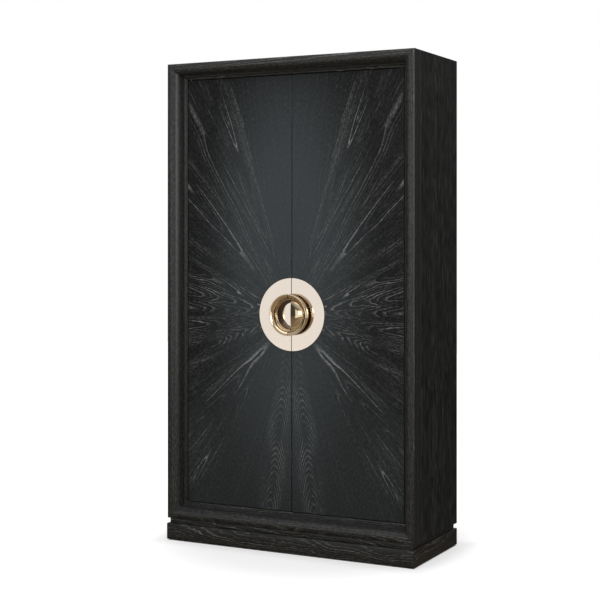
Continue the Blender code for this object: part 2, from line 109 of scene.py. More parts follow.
def add(
    tree: Tree, kind: str, settings: dict[str, Any] | None = None,
    inputs: dict[int | str, Any] | None = None, output: int | str = 0,
) -> Socket:
    """Add a node with its settings and links.

    Args:
        tree: The node tree that takes the node.
        kind: The node's type.
        settings: Properties of the node.
        inputs: Values or output sockets for its inputs, by place or name.
        output: The output that is wanted, by place or name.

    Returns:
        That output socket.
    """
    node = tree.nodes.new(kind)
    for name, value in (settings or {}).items():
        setattr(node, name, value)
    for key, value in (inputs or {}).items():
        if isinstance(value, Socket):
            tree.links.new(value, node.inputs[key])
        else:
            node.inputs[key].default_value = value
    return node.outputs[output]


def calc(tree: Tree, operation: str, *values: Value, clamp: bool = False) -> Socket:
    """Add a Math node and return its result."""
    return add(tree, "ShaderNodeMath", {"operation": operation, "use_clamp": clamp}, dict(enumerate(values)))


def remap(tree: Tree, value: Value, start: Pair, end: tuple[Value, Value], smooth: bool = False) -> Socket:
    """Map one range of a value onto another and return the result, which stays inside the new range."""
    settings = {"interpolation_type": "SMOOTHSTEP" if smooth else "LINEAR"}
    return add(tree, "ShaderNodeMapRange", settings, dict(enumerate((value, *start, *end))))


def axes(tree: Tree, vector: Socket) -> bpy.types.NodeOutputs:
    """Split a vector and return its parts, by the names X, Y and Z."""
    return add(tree, "ShaderNodeSeparateXYZ", None, {0: vector}).node.outputs


def blend(tree: Tree, factor: Value, first: Colour | Socket, second: Colour | Socket) -> Socket:
    """Mix two colours and return the mixture."""
    return add(tree, MIX, {"data_type": "RGBA"}, {"Factor": factor, "A": first, "B": second}, 2)


def cloud(
    tree: Tree, face: tuple[Value, Value], rate: Pair, depth: Value, detail: float, roughness: float = 0.5
) -> Socket:
    """Draw noise that is stretched along the grain.

    Args:
        tree: The material's tree.
        face: The distances across and along the face, in metres.
        rate: How many clouds there are to a metre, across and along.
        depth: The third coordinate.
        detail: How many finer layers there are.
        roughness: How strong those are.

    Returns:
        The noise, from 0 to 1.
    """
    across, along = (calc(tree, "MULTIPLY", side, size) for side, size in zip(face, rate))
    place = add(tree, "ShaderNodeCombineXYZ", None, {0: across, 1: along, 2: depth})
    return add(tree, NOISE, None, {"Vector": place, "Scale": 1.0, "Detail": detail, "Roughness": roughness})


def object_place(tree: Tree) -> Socket:
    """Return the place on the piece, which lies at the origin, in metres."""
    return add(tree, "ShaderNodeTexCoord", output="Object")


def new_shader(name: str, colour: str = "#FFFFFF", metallic: float = 0.0) -> Shader:
    """Make a Principled material of one colour.

    Args:
        name: The material's name.
        colour: Its base colour.
        metallic: 1 for metal.

    Returns:
        The material, its tree and its Principled node.
    """
    material = bpy.data.materials.new(name)
    material.use_nodes = True
    shader = material.node_tree.nodes["Principled BSDF"]
    shader.inputs["Base Color"].default_value = linear(colour)
    shader.inputs["Metallic"].default_value = metallic
    return material, material.node_tree, shader


def roughen(tree: Tree, shader: bpy.types.Node, height: Socket, depth: float) -> None:
    """Give a shader a relief, from a height of 0 to 1 and the depth in metres that 1 stands for."""
    normal = add(tree, "ShaderNodeBump", None, {"Strength": 1.0, "Distance": depth, "Height": height})
    tree.links.new(normal, shader.inputs["Normal"])


@dataclass(frozen=True)
class OakFigure:
    """Growth rings and pores as they show on a cut face of oak.

    A ring is a circle about the log's heart, so a face near the heart shows nested arches and a face far from
    it straight lines. Each ring starts with a band of open pores, and those hold the pale filler. Real pores
    are about 0.3 mm wide. They are drawn 3 mm wide and 15 mm long, because a picture of the whole cabinet
    can't show finer ones.
    """

    heart_wander: float = 0.006
    heart_wander_rate: float = 2.4
    heart_wander_range: Pair = (0.25, 0.75)
    heart_wander_down: float = 0.6
    ripple_rate: Pair = (26.0, 5.0)
    waver_rate: Pair = (85.0, 22.0)
    waver_share: float = 0.16
    pore_rate: Pair = (300.0, 65.0)
    pore_range: Pair = (0.42, 0.66)
    band_fill: Pair = (1.2, 0.45)
    band_sharpness: float = 5.0
    boldness_power: float = 2.6

    def draw(
        self, tree: Tree, across: Value, along: Value, depth: Value, ring_width: Value, ripple: Value,
        seed: Value, faintest_ring: Value, cone: Value = 0.0,
    ) -> tuple[Socket, Socket]:
        """Draw the figure.

        Args:
            tree: The material's tree.
            across: The distance from the heart's line across the face, in metres.
            along: The distance along the grain, in metres.
            depth: The heart's depth under the face, in metres.
            ring_width: The width of a ring, in metres.
            ripple: How far the rings waver, in metres.
            seed: A number that sets the log apart from others.
            faintest_ring: How much filler the faintest ring holds, as a share of the boldest one's.
            cone: How much wider a ring gets over a metre of the log, which draws pointed arches.

        Returns:
            How much filler the ring bands hold, and how much the pores all over hold, both from 0 to 1.
        """
        place = calc(tree, "ADD", along, seed)
        drift = {"W": place, "Scale": self.heart_wander_rate, "Detail": 2.0}
        drift = add(tree, NOISE, {"noise_dimensions": "1D"}, drift)
        drift = remap(tree, drift, self.heart_wander_range, (-self.heart_wander, self.heart_wander))
        sideways = calc(tree, "ADD", across, drift)
        downward = calc(tree, "MULTIPLY_ADD", drift, self.heart_wander_down, depth)
        squared = calc(tree, "MULTIPLY", sideways, sideways)
        squared = calc(tree, "MULTIPLY_ADD", downward, downward, squared)
        widening = calc(tree, "MULTIPLY", along, cone)
        radius = calc(tree, "SUBTRACT", calc(tree, "SQRT", squared), widening)

        face = (across, along)
        wave = calc(tree, "SUBTRACT", cloud(tree, face, self.ripple_rate, seed, 3.0, 0.55), 0.5)
        waver = calc(tree, "SUBTRACT", cloud(tree, face, self.waver_rate, seed, 1.0), 0.5)
        wave = calc(tree, "MULTIPLY_ADD", waver, self.waver_share, wave)
        wavy = calc(tree, "MULTIPLY_ADD", wave, ripple, radius)

        rings = calc(tree, "DIVIDE", wavy, ring_width)
        number = calc(tree, "ADD", calc(tree, "FLOOR", rings), seed)
        chance = add(tree, "ShaderNodeTexWhiteNoise", {"noise_dimensions": "1D"}, {"W": number})
        chance = calc(tree, "POWER", chance, self.boldness_power)
        boldness = remap(tree, chance, (0.0, 1.0), (faintest_ring, 1.0))
        rest = calc(tree, "SUBTRACT", 1.0, calc(tree, "FRACT", rings))
        band = calc(tree, "POWER", rest, self.band_sharpness)
        band = calc(tree, "MULTIPLY", band, boldness)

        pore_depth = calc(tree, "MULTIPLY_ADD", depth, self.pore_rate[0], seed)
        pores = cloud(tree, face, self.pore_rate, pore_depth, 2.0, 0.6)
        pores = remap(tree, pores, self.pore_range, (0.0, 1.0))
        filled = calc(tree, "MULTIPLY_ADD", pores, *self.band_fill)
        return calc(tree, "MULTIPLY", band, filled, clamp=True), pores


@dataclass(frozen=True)
class CerusedOak:
    """Solid oak, stained black, brushed and limed.

    The brush opens the soft early wood, the pale lime stays in those pores, and the hard wood between them is
    wiped clean: thin light grain on near black, with a low sheen.
    """

    name: str
    grain: Grain
    heart: Pair
    taper: float = 0.02
    ring_width: float = 0.0055
    ripple: float = 0.004
    strength: float = 0.50
    seed: float = 0.0
    stain: str = "#131414"
    lime: str = "#8E908C"
    fine_pores: float = 0.07
    faintest_ring: float = 0.05
    roughness: float = 0.42
    sheen: float = 0.32
    figure: OakFigure = OakFigure()

    def build(self) -> Finish:
        """Make the material from Object coordinates, so that every face shows the same log."""
        material, tree, shader = new_shader(self.name)
        place = axes(tree, object_place(tree))
        across, along, depth = (place[axis] for axis in self.grain.value)
        across = calc(tree, "SUBTRACT", across, self.heart[0])
        depth = calc(tree, "SUBTRACT", depth, self.heart[1])
        depth = calc(tree, "MULTIPLY_ADD", along, self.taper, depth)
        figure = (self.ring_width, self.ripple, self.seed, self.faintest_ring)
        filler = self.figure.draw(tree, across, along, depth, *figure)
        paint_oak(tree, shader, self, filler, self.strength, linear(self.stain))
        return material


def paint_oak(
    tree: Tree, shader: bpy.types.Node, wood: CerusedOak | SunburstVeneer, filler: tuple[Socket, Socket],
    strength: Value, stain: Colour | Socket,
) -> None:
    """Turn ring bands and pores into stained and limed oak.

    Args:
        tree: The material's tree.
        shader: Its Principled node.
        wood: The finish, for its lime, fine pores, roughness and sheen.
        filler: How much filler the ring bands hold, and how much the pores all over hold, from 0 to 1.
        strength: How much lime the bands keep.
        stain: The stained wood's colour.
    """
    band, pores = filler
    bands = calc(tree, "MULTIPLY", band, strength)
    limed = calc(tree, "MULTIPLY_ADD", pores, wood.fine_pores, bands, clamp=True)
    tree.links.new(blend(tree, limed, stain, linear(wood.lime)), shader.inputs["Base Color"])
    rough = calc(tree, "MULTIPLY_ADD", limed, LIME_ROUGHNESS, wood.roughness)
    tree.links.new(rough, shader.inputs["Roughness"])
    shader.inputs["Specular IOR Level"].default_value = wood.sheen
    roughen(tree, shader, calc(tree, "SUBTRACT", 1.0, limed), GRAIN_RELIEF)


@dataclass(frozen=True)
class SunburstVeneer:
    """Oak veneer laid in rays, stained black, brushed and limed like the solid wood.

    Each ray is a leaf of its own, so the grain turns at every joint. The leaf's own UV map measures across
    and along it. Its attributes hold the heart's depth, the taper and the ring width, then the lime, the
    ripple and the seed, and then the tone, the faintest ring and the cone.
    """

    name: str = "oak_veneer_sunburst_ebonised_limed"
    stain_dark: str = "#090A0B"
    stain_pale_painted_sheen: str = "#444B4F"
    lime: str = "#9DA1A2"
    fine_pores: float = 0.07
    roughness: float = 0.42
    sheen: float = 0.16
    patch_rate: Pair = (22.0, 4.5)
    patch_range: Pair = (0.36, 0.64)
    patch_lime: Pair = (0.05, 1.4)
    flank_range: Pair = (0.004, 0.012)
    flank_lime: Pair = (1.0, 0.10)
    # Painted sheen: the stain is painted paler where a broad soft highlight would lie on the doors, and a
    # little paler low down.
    painted_sheen_centre: Pair = (-0.03, 1.20)
    painted_sheen_reach: Pair = (0.45, 1.10)
    painted_sheen_range: Pair = (0.3, 1.05)
    painted_lift_heights: Pair = (1.00, 0.40)
    painted_lift_share: float = 0.36
    figure: OakFigure = OakFigure()

    def build(self) -> Finish:
        """Make the material from the leaves' UV map and attributes."""
        material, tree, shader = new_shader(self.name)
        leaf = axes(tree, add(tree, "ShaderNodeUVMap", {"uv_map": "leaf"}))
        heart, look, shade = (
            axes(tree, add(tree, "ShaderNodeAttribute", {"attribute_name": name}, output="Vector"))
            for name in ("heart", "look", "shade")
        )
        across, along = leaf["X"], leaf["Y"]
        depth = calc(tree, "SUBTRACT", heart["X"], calc(tree, "MULTIPLY", along, heart["Y"]))
        figure = (heart["Z"], look["Y"], look["Z"], shade["Y"], shade["Z"])
        filler = self.figure.draw(tree, across, along, depth, *figure)

        patch = cloud(tree, (across, along), self.patch_rate, look["Z"], 2.0)
        patch = remap(tree, patch, self.patch_range, self.patch_lime)
        strength = calc(tree, "MULTIPLY", look["X"], patch)
        # The rings crowd along the flanks of pointed arches, which keep less lime.
        flank = calc(tree, "MULTIPLY", calc(tree, "ABSOLUTE", across), shade["Z"])
        flank = remap(tree, flank, self.flank_range, self.flank_lime)
        strength = calc(tree, "MULTIPLY", strength, flank)
        # The leaf's tone times the painted sheen, so the pale stain shows mostly where the painted highlight
        # lies.
        tone = calc(tree, "MULTIPLY", shade["X"], self.painted_sheen(tree))
        stain = blend(tree, tone, linear(self.stain_dark), linear(self.stain_pale_painted_sheen))
        paint_oak(tree, shader, self, filler, strength, stain)
        return material

    def painted_sheen(self, tree: Tree) -> Socket:
        """Find how much paler the stain is painted, as painted sheen: most over the middle of the doors, some
        low down, none at the top corners.

        Args:
            tree: The material's tree.

        Returns:
            The share.
        """
        where = object_place(tree)
        scale = [1 / reach for reach in self.painted_sheen_reach]
        move = [-centre * size for centre, size in zip(self.painted_sheen_centre, scale)]
        spread = {"Vector": where, "Location": (move[0], 0.0, move[1]), "Scale": (scale[0], 0.0, scale[1])}
        spread = add(tree, "ShaderNodeMapping", None, spread)
        distance = add(tree, "ShaderNodeVectorMath", {"operation": "LENGTH"}, {0: spread}, "Value")
        middle = remap(tree, distance, self.painted_sheen_range, (1.0, 0.0), smooth=True)
        low = remap(tree, axes(tree, where)["Z"], self.painted_lift_heights, (0.0, self.painted_lift_share), smooth=True)
        rest = calc(tree, "SUBTRACT", 1.0, middle)
        return calc(tree, "MULTIPLY_ADD", rest, low, middle)


@dataclass(frozen=True)
class PolishedChampagne:
    """Steel sheet, champagne plated and polished: pale and warm, and it mirrors the pull that it carries."""

    name: str = "steel_champagne_plated_polished"
    colour: str = "#E6DBCE"
    roughness: float = 0.10
    roughness_spread: float = 0.03
    centre_height: float = 0.998
    polish_rate: float = 900.0
    polish_range: Pair = (0.3, 0.7)
    polish_relief: float = 0.000005

    def build(self) -> Finish:
        """Make the material, with its polishing marks in circles about the pull."""
        material, tree, shader = new_shader(self.name, self.colour, 1.0)
        centred = {"Vector": object_place(tree), "Location": (0.0, 0.0, -self.centre_height)}
        place = axes(tree, add(tree, "ShaderNodeMapping", None, centred))
        flat = add(tree, "ShaderNodeCombineXYZ", None, {0: place["X"], 1: place["Z"]})
        radius = add(tree, "ShaderNodeVectorMath", {"operation": "LENGTH"}, {0: flat}, "Value")
        marks = {"W": radius, "Scale": self.polish_rate, "Detail": 2.0, "Roughness": 0.6}
        marks = add(tree, NOISE, {"noise_dimensions": "1D"}, marks)
        ends = (self.roughness - self.roughness_spread, self.roughness + self.roughness_spread)
        tree.links.new(remap(tree, marks, self.polish_range, ends), shader.inputs["Roughness"])
        roughen(tree, shader, marks, self.polish_relief)
        return material


@dataclass(frozen=True)
class PolishedMetal:
    """Cast or drawn metal, polished and lacquered: a mirror with faint wipe marks."""

    name: str
    colour: str
    roughness: float = 0.10
    wipe_scale: float = 60.0
    wipe_range: Pair = (0.35, 0.7)
    wipe_share: float = 0.05
    unevenness: float = 0.00003

    def build(self) -> Finish:
        """Make the material, with its wipe marks in the roughness and a trace of unevenness."""
        material, tree, shader = new_shader(self.name, self.colour, 1.0)
        wipes = {"Vector": object_place(tree), "Scale": self.wipe_scale, "Detail": 4.0}
        wipes = add(tree, NOISE, None, wipes)
        ends = (self.roughness - self.wipe_share / 2, self.roughness + self.wipe_share)
        tree.links.new(remap(tree, wipes, self.wipe_range, ends), shader.inputs["Roughness"])
        roughen(tree, shader, wipes, self.unevenness)
        return material


@dataclass(frozen=True)
class MouldedNylon:
    """Injection moulded nylon: dull black with a fine even grain."""

    name: str = "nylon_moulded_black"
    colour: str = "#141414"
    roughness: float = 0.55
    grain_scale: float = 900.0
    grain_relief: float = 0.00005

    def build(self) -> Finish:
        """Make the material."""
        material, tree, shader = new_shader(self.name, self.colour)
        shader.inputs["Roughness"].default_value = self.roughness
        grain = {"Vector": object_place(tree), "Scale": self.grain_scale, "Detail": 2.0}
        roughen(tree, shader, add(tree, NOISE, None, grain), self.grain_relief)
        return material


def placed(name: str, shape: Shape) -> bpy.types.Object:
    """Turn a bmesh into an object of the scene.

    Args:
        name: The object's name.
        shape: Its shape, in place. It is freed.

    Returns:
        The object.
    """
    mesh = bpy.data.meshes.new(name)
    shape.to_mesh(mesh)
    shape.free()
    item = bpy.data.objects.new(name, mesh)
    bpy.context.scene.collection.objects.link(item)
    return item


def as_piece(
    name: str, shape: Shape, material: Finish, stands_for: Sequence[str], body: str,
    sharp_deg: float = 32.0,
) -> bpy.types.Object:
    """Turn a bmesh into a shaded piece that rides on a body in place of its solids.

    Args:
        name: The piece's name.
        shape: The finished shape, in place. It is freed.
        material: Its finish.
        stands_for: The solids that it replaces.
        body: The body that it rides on.
        sharp_deg: The angle above which an edge stays sharp.

    Returns:
        The piece.
    """
    piece = placed(name, shape)
    mesh = piece.data
    mesh.shade_smooth()
    mesh.set_sharp_from_angle(angle=math.radians(sharp_deg))
    mesh.materials.append(material)
    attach(piece, body)
    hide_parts(*stands_for)
    LOG.info("%s: %d faces, on %s", name, len(mesh.polygons), body)
    return piece


def dress(node: bpy.types.Object, material: Finish) -> None:
    """Give its finish to a solid that is shown as it is."""
    node.data.materials.clear()
    node.data.materials.append(material)
    LOG.info("%s: dressed in %s", node.name, material.name)


def arc(
    centre: Pair, half_width: float, half_height: float, start_deg: float, end_deg: float, steps: int
) -> list[Pair]:
    """Return the points of an elliptical arc, with both ends."""
    turn = [math.radians(start_deg + (end_deg - start_deg) * step / steps) for step in range(steps + 1)]
    return [(centre[0] + half_width * math.cos(a), centre[1] + half_height * math.sin(a)) for a in turn]


def bend(start: Pair, control: Pair, end: Pair, steps: int) -> list[Pair]:
    """Return the points of a curve that leans towards its control point, without its start."""
    shares = [((1 - t) ** 2, 2 * t * (1 - t), t**2) for t in (step / steps for step in range(1, steps + 1))]
    return [tuple(p * a + q * b + r * c for a, b, c in zip(start, control, end)) for p, q, r in shares]


@dataclass
class PictureFrame:
    """The mitred moulding round the doors: a rounded edge, a long ogee, a quirk, a cove and a bead."""

    face: float = 0.067
    depth: float = 0.066
    mitre_gap: float = 0.0003
    roll_width: float = 0.019
    roll_drop: float = 0.008
    shoulder: Pair = (0.0525, 0.0465)
    shoulder_bend: Pair = (0.0470, 0.0025)
    quirk: float = 0.002
    cove_bend: Pair = (0.0548, 0.0608)
    bead_start: Pair = (0.0590, 0.0606)
    bead_bend: Pair = (0.0635, 0.0585)
    lip_depth: float = 0.0625
    curve_steps: int = 20
    small_steps: int = 10
    upright_heart: Pair = (-0.16, -0.10)
    bottom_heart: Pair = (0.045, 0.105)
    top_heart: Pair = (0.055, 0.085)

    def section(self) -> list[Pair]:
        """The moulding's outline, as points of face width and depth from the front."""
        outline = [(0.0, self.depth)]
        width, drop = self.roll_width, self.roll_drop
        roll = arc((width, drop), width, drop, 180, 270, self.small_steps)
        outline += roll
        outline += bend(roll[-1], self.shoulder_bend, self.shoulder, self.curve_steps)
        quirk = (self.shoulder[0] + self.quirk, self.shoulder[1])
        outline.append(quirk)
        outline += bend(quirk, self.cove_bend, self.bead_start, self.small_steps)
        outline += bend(self.bead_start, self.bead_bend, (self.face, self.lip_depth), self.small_steps)
        outline.append((self.face, self.depth))
        return outline

    def member(self, corner: Vector, along: Vector, inward: Vector, length: float) -> Shape:
        """Sweep the section along one side and mitre both ends.

        Args:
            corner: The outer front corner that the member starts from.
            along: The unit vector along it.
            inward: The unit vector towards the doors.
            length: Its length at the outer edge.

        Returns:
            The member's shape.
        """
        trim = self.mitre_gap * math.sqrt(0.5)
        shape = bmesh.new()
        ring = [
            shape.verts.new(corner + inward * u - FRONT_VIEW * v + along * (u + trim))
            for u, v in self.section()
        ]
        face = shape.faces.new(ring)
        swept = bmesh.ops.extrude_face_region(shape, geom=[face])["geom"]
        start = corner.dot(inward)
        for vert in (item for item in swept if isinstance(item, bmesh.types.BMVert)):
            across = vert.co.dot(inward) - start
            vert.co += along * (length - 2 * (across + trim))
        bmesh.ops.recalc_face_normals(shape, faces=shape.faces)
        return shape

    def build(self) -> None:
        """Build the four members in place of their solids."""
        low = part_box("frame_left")[0]
        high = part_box("frame_right")[1]
        front = low.y
        right, up = Vector((1.0, 0.0, 0.0)), Vector((0.0, 0.0, 1.0))
        width, height = high.x - low.x, high.z - low.z
        low_right = Vector((high.x, front, low.z))
        high_left = Vector((low.x, front, high.z))
        out, behind = self.upright_heart
        left_heart, right_heart = (low.x + out, front + behind), (high.x - out, front + behind)
        bottom_heart = (low.z + self.bottom_heart[0], front + self.bottom_heart[1])
        top_heart = (high.z - self.top_heart[0], front + self.top_heart[1])
        members = {
            "left": (low.copy(), up, right, height, left_heart),
            "right": (low_right, up, -right, height, right_heart),
            "bottom": (low.copy(), right, up, width, bottom_heart),
            "top": (high_left, right, -up, width, top_heart),
        }
        for seed, (word, (corner, along, inward, length, heart)) in enumerate(members.items()):
            upright = along == up
            oak = CerusedOak(
                f"oak_{word}_moulding_ebonised_limed",
                Grain.UP_ON_FRONT if upright else Grain.LEVEL_ON_FRONT, heart, taper=0.018,
                ring_width=0.004, strength=0.50 if upright else 0.75, fine_pores=0.12,
                faintest_ring=0.12 if upright else 0.25, seed=3.7 + seed,
            ).build()
            shape = self.member(corner, along, inward, length)
            stands_for = [f"frame_{word}"]
            as_piece(f"moulding_{word}", shape, oak, stands_for, "carcass", sharp_deg=28.0)


@dataclass
class Base:
    """The recessed reveal and the plinth under the body, mitred at the corners, with eased edges."""

    mitre_gap: float = 0.0003
    ease: float = 0.0012
    ease_steps: int = 3
    heart_rise: float = 0.035
    heart_share_side: float = 0.86
    heart_share_front: float = 0.62

    def board(self, node: str, turned: bool) -> Shape:
        """Make a mitred board as large as its solid.

        Args:
            node: The solid's name.
            turned: Whether the board runs along Y.

        Returns:
            The board's shape.
        """
        low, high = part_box(node)
        size, centre = high - low, (high + low) / 2
        outward = 1 if (centre.x if turned else centre.y) > 0 else -1
        shape = bmesh.new()
        bmesh.ops.create_cube(shape, size=1.0)
        bmesh.ops.scale(shape, vec=size, verts=shape.verts)
        bmesh.ops.translate(shape, vec=centre, verts=shape.verts)
        run, through = (1, 0) if turned else (0, 1)
        for vert in shape.verts:
            depth_in = size[through] / 2 - outward * (vert.co[through] - centre[through])
            vert.co[run] -= math.copysign(depth_in, vert.co[run])
        edges = [edge for edge in shape.edges if edge.calc_length() > 2 * self.ease]
        bmesh.ops.bevel(
            shape, geom=edges, offset=self.ease, segments=self.ease_steps, profile=0.5, affect="EDGES",
            material=-1,
        )
        return shape

    def build(self) -> None:
        """Build the eight boards in place of their solids."""
        for level, seed in (("plinth", 11.3), ("reveal", 17.9)):
            for place, turned in (("front", False), ("back", False), ("left", True), ("right", True)):
                node = f"{level}_{place}"
                low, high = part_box(node)
                middle = (low + high) / 2
                inner = middle.x * self.heart_share_side if turned else middle.y * self.heart_share_front
                # Boards along Y take a warmer, lighter stain than the front and back: painted warm light
                # bounced from the floor onto the sides.
                oak = CerusedOak(
                    f"oak_{node}_ebonised_limed", Grain.LEVEL_ON_SIDE if turned else Grain.LEVEL_ON_FRONT,
                    (middle.z + self.heart_rise, inner), taper=0.03, ring_width=0.0036, ripple=0.012,
                    strength=0.70, faintest_ring=0.40, stain="#221A13" if turned else "#131313",
                    seed=seed + len(place),
                ).build()
                as_piece(f"{node}_board", self.board(node, turned), oak, [node], "carcass")


class Figure(Enum):
    """A leaf's cut: heart depth, taper, ring width, ripple, lime, side offset, faintest ring and cone."""

    PLAIN = (0.060, 0.000, 0.0060, 0.004, 0.22, 0.260, 0.05, 0.0)
    STRING = (0.046, 0.040, 0.0052, 0.003, 1.10, 0.0, 0.05, 0.0)
    LOOP = (0.003, -0.030, 0.0105, 0.003, 1.10, 0.0, 0.05, 0.0)
    NESTED = (0.062, 0.054, 0.0070, 0.004, 1.20, 0.0, 0.05, 0.0)
    STRAIGHT = (0.040, 0.010, 0.0070, 0.006, 0.80, 0.110, 0.12, 0.0)
    WISPY = (0.045, 0.010, 0.0040, 0.012, 1.25, 0.0, 0.28, 0.055)
    CHEVRON = (0.042, 0.000, 0.0056, 0.006, 1.05, 0.0, 0.45, 0.190)


@dataclass(frozen=True)
class Leaf:
    """A leaf of veneer, by the angles from straight up about the pull at which it ends and its heart lies."""

    end_deg: float
    heart_deg: float
    figure: Figure
    tone: float


@dataclass
class SunburstDoor:
    """One door: a solid panel whose face is laid with leaves of veneer in rays about the pull."""

    side: Side
    veneer: Finish
    edge_oak: Finish
    centre_height: float = 0.998
    joint_angle_limit_deg: float = 1.0
    pocket_radius: float = 0.0642
    pocket_depth: float = 0.0179
    pocket_sides: int = 120
    face_limit: float = 0.99
    seed_step: float = 7.31
    leaves: tuple[Leaf, ...] = (
        Leaf(16.0, 8.0, Figure.PLAIN, 1.00),
        Leaf(24.5, 20.6, Figure.STRING, 0.95),
        Leaf(36.0, 29.0, Figure.LOOP, 1.00),
        Leaf(49.0, 43.0, Figure.NESTED, 0.95),
        Leaf(64.0, 56.0, Figure.STRAIGHT, 0.80),
        Leaf(75.5, 70.0, Figure.WISPY, 0.85),
        Leaf(84.0, 80.0, Figure.WISPY, 0.85),
        Leaf(92.0, 87.5, Figure.WISPY, 0.90),
        Leaf(102.0, 96.5, Figure.WISPY, 0.80),
        Leaf(117.0, 109.0, Figure.WISPY, 0.80),
        Leaf(129.0, 123.0, Figure.STRAIGHT, 0.70),
        Leaf(142.0, 137.0, Figure.NESTED, 1.00),
        Leaf(151.0, 146.5, Figure.STRING, 0.95),
        Leaf(166.0, 158.0, Figure.PLAIN, 1.00),
        Leaf(180.0, 172.6, Figure.CHEVRON, 1.05),
    )

    def build(self) -> bpy.types.Object:
        """Build the door in place of its solid: a copy of it, cut along the joints of the veneer."""
        node = f"door_panel_{self.side.word}"
        shape = bmesh.new()
        shape.from_mesh(bpy.data.objects[node].data)
        bmesh.ops.remove_doubles(shape, verts=shape.verts, dist=MERGE_DISTANCE)
        if self.side is Side.LEFT:
            shape = self.with_pocket(shape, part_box(node)[0].y)
        bmesh.ops.dissolve_limit(
            shape, angle_limit=math.radians(self.joint_angle_limit_deg), verts=shape.verts, edges=shape.edges
        )
        for leaf in self.leaves[:-1]:
            angle = math.radians(leaf.end_deg)
            across = Vector((math.cos(angle) * self.side.value, 0.0, -math.sin(angle)))
            bmesh.ops.bisect_plane(
                shape, geom=[*shape.verts, *shape.edges, *shape.faces], dist=MERGE_DISTANCE,
                plane_co=(0.0, 0.0, self.centre_height), plane_no=across,
            )
        self.map_leaves(shape)
        name, body = f"sunburst_door_{self.side.word}", f"door_{self.side.word}"
        piece = as_piece(name, shape, self.veneer, [node], body, sharp_deg=20.0)
        piece.data.materials.append(self.edge_oak)
        for polygon in piece.data.polygons:
            polygon.use_smooth = polygon.material_index != 0
        return piece

    def with_pocket(self, shape: Shape, front: float) -> Shape:
        """Sink the pocket that takes the pull's cup into the door.

        Args:
            shape: The door's shape. It is freed.
            front: The Y of the door's face.

        Returns:
            The door's shape with the pocket.
        """
        cutter = bmesh.new()
        face = Matrix.Translation((0.0, front, self.centre_height))
        bmesh.ops.create_cone(
            cutter, cap_ends=True, segments=self.pocket_sides, radius1=self.pocket_radius,
            radius2=self.pocket_radius, depth=2 * self.pocket_depth,
            matrix=face @ Matrix.Rotation(math.radians(90), 4, "X"),
        )
        blank, tool = placed("door_blank", shape), placed("pocket_cutter", cutter)
        boolean = blank.modifiers.new("pocket", "BOOLEAN")
        boolean.operation, boolean.solver, boolean.object = "DIFFERENCE", "EXACT", tool
        cut = bmesh.new()
        cut.from_object(blank, bpy.context.evaluated_depsgraph_get())
        for item in (blank, tool):
            bpy.data.meshes.remove(item.data)
        return cut

    def leaf_at(self, point: Vector) -> tuple[int, Leaf]:
        """Find the leaf that covers a point of the face.

        Args:
            point: The point, in metres.

        Returns:
            The leaf's number and the leaf.
        """
        angle = math.degrees(math.atan2(abs(point.x), point.z - self.centre_height))
        for number, leaf in enumerate(self.leaves):
            if angle <= leaf.end_deg:
                return number, leaf
        return len(self.leaves) - 1, self.leaves[-1]

    def map_leaves(self, shape: Shape) -> None:
        """Give each face of the veneer its leaf's map and looks, and the other faces the edge's oak.

        Args:
            shape: The door's shape, cut along the joints.
        """
        leaf_map = shape.loops.layers.uv.new("leaf")
        heart = shape.loops.layers.float_vector.new("heart")
        look = shape.loops.layers.float_vector.new("look")
        shade = shape.loops.layers.float_vector.new("shade")
        for face in shape.faces:
            if face.normal.dot(FRONT_VIEW) < self.face_limit:
                face.material_index = 1
                continue
            number, leaf = self.leaf_at(face.calc_center_median())
            depth, taper, ring_width, ripple, lime, offset, faintest_ring, cone = leaf.figure.value
            middle = math.radians(leaf.heart_deg)
            for corner in face.loops:
                place = corner.vert.co
                x, z = abs(place.x), place.z - self.centre_height
                across = x * math.cos(middle) - z * math.sin(middle)
                along = x * math.sin(middle) + z * math.cos(middle)
                corner[leaf_map].uv = (across + offset, along)
                corner[heart] = Vector((depth, taper, ring_width))
                corner[look] = Vector((lime, ripple, 1.0 + self.seed_step * number))
                corner[shade] = Vector((leaf.tone, faintest_ring, cone))


